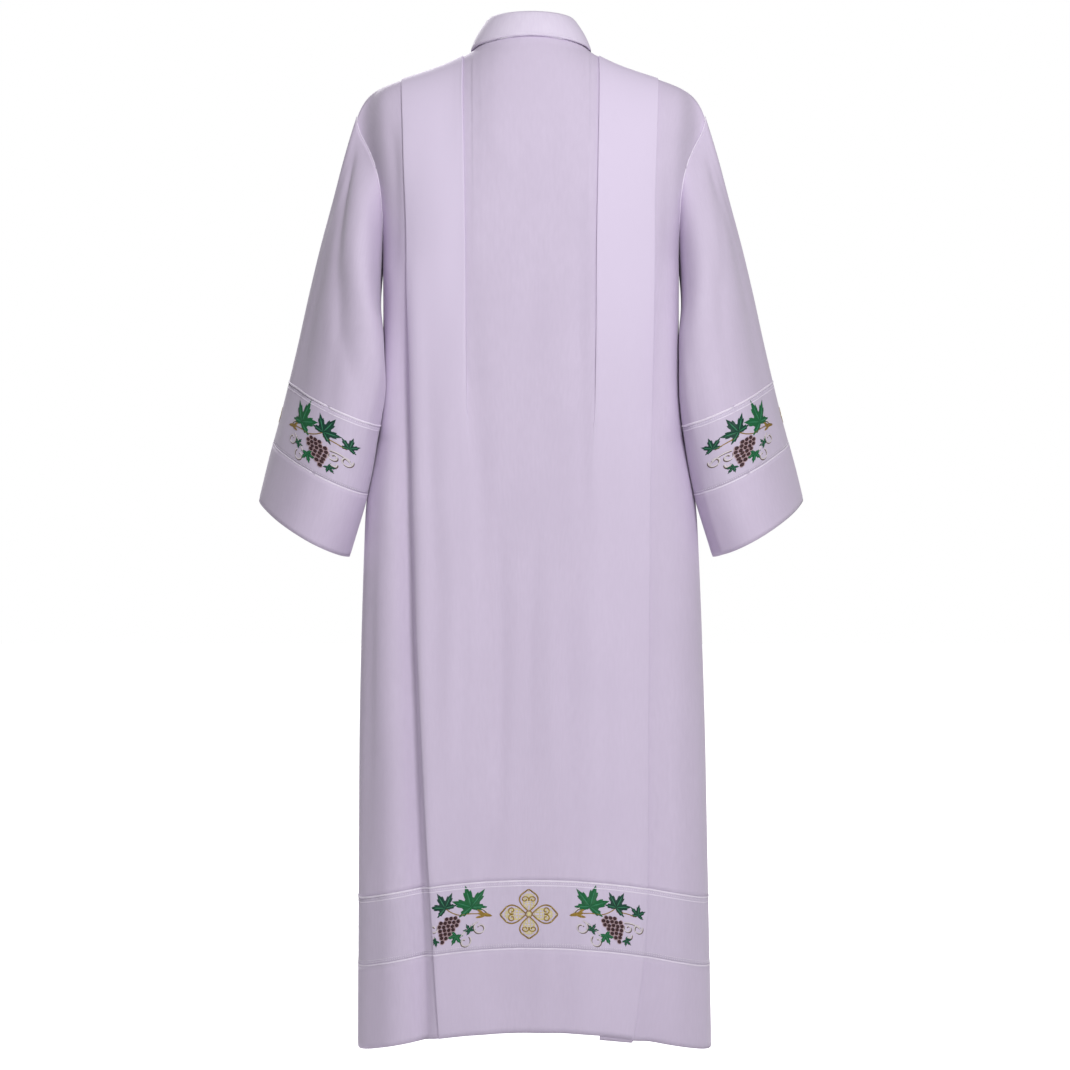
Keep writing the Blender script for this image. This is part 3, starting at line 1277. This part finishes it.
GRAPE_ROWS = (3, 5, 5, 4, 3, 2, 1)
GRAPES_AT, GRAPE_LEAN, GRAPE_WAY, GRAPE_DOWN = (110, 47), 2.0, 5.9, 5.1
GRAPE_RADIUS, GRAPE_RIM_RADIUS = 2.75, 2.95


def grape_cluster():
    """Grapes in leaning rows, each a round dome with a pale outline open at one place."""
    grapes, rims = [], []
    for row, count in enumerate(GRAPE_ROWS):
        v = GRAPES_AT[1] - GRAPE_DOWN * row
        middle = GRAPES_AT[0] + GRAPE_LEAN * row
        for k in range(count):
            spot = (middle + GRAPE_WAY * (k - (count - 1) / 2), v + 0.5 * np.sin(3 * k + row))
            rim = curl(spot, GRAPE_RIM_RADIUS, GRAPE_RIM_RADIUS, 80 + 25 * k, 350 + 25 * k, 12)
            grapes.append(dome(spot, disc(GRAPE_RADIUS), 20.0 * k, high=1.3, sides=16, rings=4))
            rims.append(cord(rim, 0.55, 0.9))
    return grapes, rims


def vine():
    """The vine on one side: bud, leaves, grapes and scrolls, as parts for each thread."""
    grapes, rims = grape_cluster()
    scrolls = [
        curl((70, 31), 9.5, 3, 80, -330),
        curl((91, 14), 9, 2.5, 130, 470),
        curl((134, 36), 6.5, 2, 150, 520),
        curl((148, 37), 7.5, 2.5, 20, -360),
        bow((72, 40), (86, 34), (98, 20)),
        bow((128, 42), (142, 46), (155, 34)),
        bow((60, 50), (66, 60), (76, 57)),
        bow((132, 24), (140, 20), (139, 28)),
    ]
    shaded = [path + np.array([1.0, -1.0]) for path in scrolls]
    stems = [bow((72, 50), (88, 52), (97, 50)), bow((97, 50), (110, 53), (118, 62))]
    stems.append(bow((118, 56), (134, 56), (146, 52)))
    bud = [almond((64, 48.5), 11, 2.6, 14), almond((70, 53), 7, 1.9, 40), almond((70, 46), 7, 1.8, -8)]
    bright = [((82, 60), 29, 74), ((103, 23), 13.5, -64)]
    dark = [((118, 62), 22, 62), ((148, 55), 14, 80), ((84, 28), 10.5, 60), ((131, 19), 9, -40)]
    return {
        "bright": [vine_leaf(*leaf) for leaf in bright],
        "dark": [vine_leaf(*leaf) for leaf in dark],
        "vein": [vein for leaf in bright + dark for vein in veins(*leaf)],
        "grape": grapes,
        "rim": rims,
        "gold": bud + [cord(path, 0.7, 0.6) for path in stems],
        "cream": [cord(path, 0.95, 0.5) for path in scrolls],
        "bronze": [cord(path, 0.75, 0.35) for path in shaded],
    }


def cross_arm():
    """One arm, pointing along +u: a pointed loop with two curls and a netting inside."""
    t = np.linspace(0, 1, 40)
    half = 12.5 * np.sin(np.pi * t**1.15) ** 0.8 * (1 - 0.3 * ease((t - 0.72) / 0.28))
    loop = [np.stack([4 + 35 * t, s * half], -1) for s in (1, -1)]
    curls = [curl((23, s * 5.2), 5.2, 1.6, -s * 120, s * 300) for s in (1, -1)]
    inner = [bow((7, 0), (17, s * 15), (31, 0)) for s in (1, -1)]
    net = [bow((x, -7.5), (x + 3, 0), (x, 7.5), 8) for x in (13, 17, 21, 25, 29)]
    net += [bow((8, y), (20, y * 1.3), (33, y * 0.4), 12) for y in (-6, -2, 2, 6)]
    dots = [(36, 0), (30, 9.5), (30, -9.5)]
    return {
        "gold": [cord(path, 0.95, 0.65) for path in loop + curls],
        "bronze": [cord(path * 0.96 + np.array([0.6, 0]), 0.6, 0.4) for path in loop],
        "pale": [cord(path, 0.65, 0.4) for path in net + inner]
        + [dome(spot, disc(1.3), sides=12, rings=3) for spot in dots],
    }


def moved(part, matrix, shift):
    """A flat part turned and stretched by a 2 by 2 matrix and shifted."""
    points = part[0].copy()
    points[:, :2] = points[:, :2] @ np.array(matrix, float).T + shift
    return points, part[1], part[2]


CROSS_AT = (0, 47)


def cross_motif():
    """Four arms, the upright ones shorter, round a knot."""
    made = {"gold": [], "bronze": [], "pale": []}
    for matrix in ([[1, 0], [0, 1]], [[-1, 0], [0, 1]], [[0, 1], [0.87, 0]], [[0, 1], [-0.87, 0]]):
        for thread, parts in cross_arm().items():
            made[thread] += [moved(part, matrix, CROSS_AT) for part in parts]
    made["gold"].append(cord(curl(CROSS_AT, 4.2, 4.2, 0, 360), 0.8, 0.7))
    made["pale"].append(dome(CROSS_AT, disc(3.2), high=1.0))
    return made


# ---- Embroidery, laid on the bands ----
BAND_HIGH = 92.0
CROSS_BEFORE = 30.0  # the cross lies this far before the sleeve's outer crease
VINE_BEGINS = 44.0  # from the cross, where the sleeve's vine is moved on and stretched
VINE_BEHIND = 42.0  # how far on the vine behind the arm is moved
SLEEVE_STRETCH, VINE_STRETCH = 1.1, 0.3
NARROW, NARROW_BY = 140, 5.0  # a vine with less room is moved in towards the cross


def on_panel_band(panel):
    """Maps local millimetres onto a body band: u is the length along its visible face."""
    turns = np.linspace(-1.2, 1.2, 1600)
    level = np.full(1600, 2.5)
    face = body_point(panel, turns, level, outer_lift(panel, turns, level))
    run = run_along(face)
    run = (run - np.interp(0, turns, run)) * panel

    def place(local):
        order = np.argsort(run)
        turn = np.interp(local[:, 0], run[order], turns[order])
        level = 3 - local[:, 1] / BAND_HIGH
        out = outer_lift(panel, turn, level) + SHEER / 2 + local[:, 2]
        return body_point(panel, turn, level, out)

    return place


def on_sleeve_band(side):
    """Maps local millimetres onto a sleeve's band: u = 0 lies before the outer crease."""
    turns = np.linspace(-0.5 * np.pi, 1.5 * np.pi, 1200)
    face = sleeve_point(side, turns, 1.5)
    run = run_along(face)
    run = np.interp(np.pi / 2, turns, run) - run + CROSS_BEFORE

    def place(local):
        behind = np.clip(local[:, 0] - VINE_BEGINS, 0, None)
        along = SLEEVE_STRETCH * local[:, 0] + VINE_STRETCH * behind + VINE_BEHIND * ease(behind / 8)
        turn = np.interp(along, run[::-1], turns[::-1])
        at = 2 - local[:, 1] / BAND_HIGH
        spot = sleeve_point(side, turn, at)
        across = sleeve_point(side, turn + 0.01, at) - sleeve_point(side, turn - 0.01, at)
        down = sleeve_point(side, turn, at + 0.02) - sleeve_point(side, turn, at - 0.02)
        return spot + side * unit(np.cross(across, down)) * (SHEER / 2 + local[:, 2:])

    return place


THREADS = {
    "bright": LEAF_MAT,
    "dark": DARK_LEAF_MAT,
    "vein": VEIN_MAT,
    "grape": GRAPE_MAT,
    "rim": GRAPE_RIM_MAT,
    "gold": GOLD_MAT,
    "pale": PALE_GOLD_MAT,
    "cream": CREAM_MAT,
    "bronze": BRONZE_MAT,
}


def embroider(name, place, limits, centre=0.0):
    """The cross and a vine on each side of it; a part beyond its side's limit is left out."""
    made = {thread: [] for thread in THREADS}
    for thread, parts in cross_motif().items():
        made[thread] += parts
    for side, limit in zip((-1, 1), limits):
        nearer = NARROW_BY if limit < NARROW else 0.0
        for thread, parts in vine().items():
            kept = [part for part in parts if part[0][:, 0].max() - nearer < limit]
            shift = (-side * nearer, 0)
            made[thread] += [moved(part, [[side, 0], [0, 1]], shift) for part in kept]
    laid = []
    for thread, parts in made.items():
        points, faces, corners = joined(parts)
        points = points + np.array([centre, 0, 0])
        placed = place(points), faces, corners
        laid.append(add_piece(f"{name}_{thread}", [placed], THREADS[thread], "band_cloth"))
    return laid


sewn = {
    "back_band": embroider("back_embroidery", on_panel_band(1), (165, 137), 6.0),
    "front_band": embroider("front_embroidery", on_panel_band(-1), (165, 165)),
    "sleeve_band_left": embroider("left_sleeve_embroidery", on_sleeve_band(1), (165, 165)),
    "sleeve_band_right": embroider("right_sleeve_embroidery", on_sleeve_band(-1), (165, 165)),
}

for node, piece in pieces.items():
    grid, closed = grids[node]
    declare_sheet(grid, closed)

# ---- Camera, floor and light ----
FOCAL_DISTANCE = 3.2  # metres from the camera to the plane of the side seams
VIEW_WIDTH = 1.498  # metres that the frame covers there
VIEW_X, VIEW_Z = -0.0056, -0.6762  # the middle of the view
SENSOR = 36.0

camera = new_object("camera", bpy.data.cameras.new("camera"))
camera.data.sensor_width = SENSOR
camera.data.lens = SENSOR * FOCAL_DISTANCE / VIEW_WIDTH
camera.location = (VIEW_X, FOCAL_DISTANCE, VIEW_Z)
camera.rotation_euler = (np.pi / 2, 0, np.pi)
bpy.context.scene.camera = camera

FLOOR_Z = -1.5
FLOOR_HALF = 14.0
floor_mesh = bpy.data.meshes.new("floor")
floor_mesh.from_pydata(
    [(x * FLOOR_HALF, y * FLOOR_HALF, FLOOR_Z) for x, y in ((-1, -1), (1, -1), (1, 1), (-1, 1))],
    [],
    [(0, 1, 2, 3)],
)
floor = new_object("floor", floor_mesh)
floor_material, floor_tree, floor_shader = new_material("white_studio_floor")
floor_shader.inputs["Base Color"].default_value = srgb("#f7f6f8")
floor_shader.inputs["Roughness"].default_value = 0.9
floor_shader.inputs["Emission Color"].default_value = srgb("#ffffff")
floor_ray = add(floor_tree, "ShaderNodeLightPath")
floor_tree.links.new(floor_shader.inputs["Emission Strength"], floor_ray.outputs["Is Camera Ray"])
floor_mesh.materials.append(floor_material)


def area_light(name, place, aim, size, power):
    """A square soft light that faces a point."""
    data = bpy.data.lights.new(name, "AREA")
    data.size = size
    data.energy = power
    lamp = new_object(name, data)
    lamp.location = place
    way = np.array(aim, float) - np.array(place, float)
    flat = np.hypot(way[0], way[1])
    lamp.rotation_euler = (np.arctan2(flat, -way[2]), 0, np.arctan2(-way[0], way[1]))


area_light("key", (-0.9, 3.1, 1.5), (0, 0, -0.6), 0.8, 89)
area_light("front_key", (0.9, -3.0, 1.5), (0, 0, -0.6), 0.8, 89)

world = bpy.data.worlds.new("studio")
bpy.context.scene.world = world
world.use_nodes = True
world_tree = world.node_tree
ambient = world_tree.nodes["Background"]
ambient.inputs["Color"].default_value = (1, 1, 1, 1)
ambient.inputs["Strength"].default_value = 0.23
seen = add(world_tree, "ShaderNodeBackground", values={"Color": (1, 1, 1, 1), "Strength": 1.0})
ray = add(world_tree, "ShaderNodeLightPath")
choose = add(
    world_tree,
    "ShaderNodeMixShader",
    {
        0: ray.outputs["Is Camera Ray"],
        1: ambient.outputs["Background"],
        2: seen.outputs["Background"],
    },
)
world_tree.links.new(world_tree.nodes["World Output"].inputs["Surface"], choose.outputs["Shader"])
bpy.context.scene.view_settings.view_transform = "Standard"
